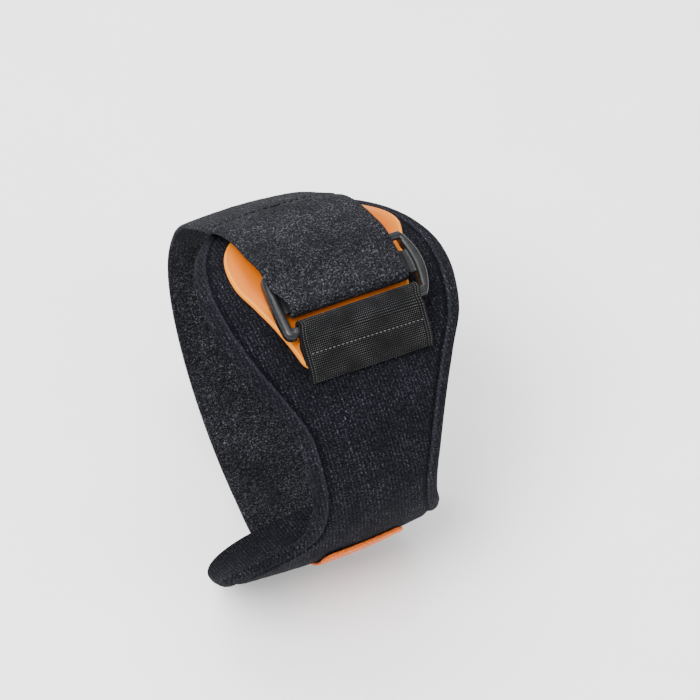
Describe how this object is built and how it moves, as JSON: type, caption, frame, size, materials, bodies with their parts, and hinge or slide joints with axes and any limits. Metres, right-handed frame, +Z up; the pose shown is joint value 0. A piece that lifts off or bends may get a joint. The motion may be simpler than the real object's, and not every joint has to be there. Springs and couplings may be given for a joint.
{
  "type": "tennis elbow strap",
  "caption": "Forearm strap with a rounded velour body, pressure plate, ring with an elastic loop, and a closing velour strap, in its worn loop.",
  "frame": {"origin": "on the axis of the hollow that the forearm goes through, level with the ring", "axes": "+X along the hollow towards its narrow end, +Z up through the ring, -Y to the front; the strap is in its worn loop"},
  "size_m": [0.0997, 0.1169, 0.1138],
  "materials": {
    "velour_body": "loop-pile velour on foam, near-black",
    "plate_plastic": "satin moulded orange",
    "ring_plastic": "satin moulded black",
    "webbing": "ribbed elastic webbing, black",
    "velour_strap": "loop-pile velour, near-black with grey flecks",
    "hook_tape": "orange hook tape"
  },
  "bodies": {
    "root": {"body": "velour_body", "pressure_plate": "plate_plastic", "ring": "ring_plastic", "elastic_loop": "webbing", "strap": "velour_strap", "hook_tab": "hook_tape"}
  },
  "joints": []
}
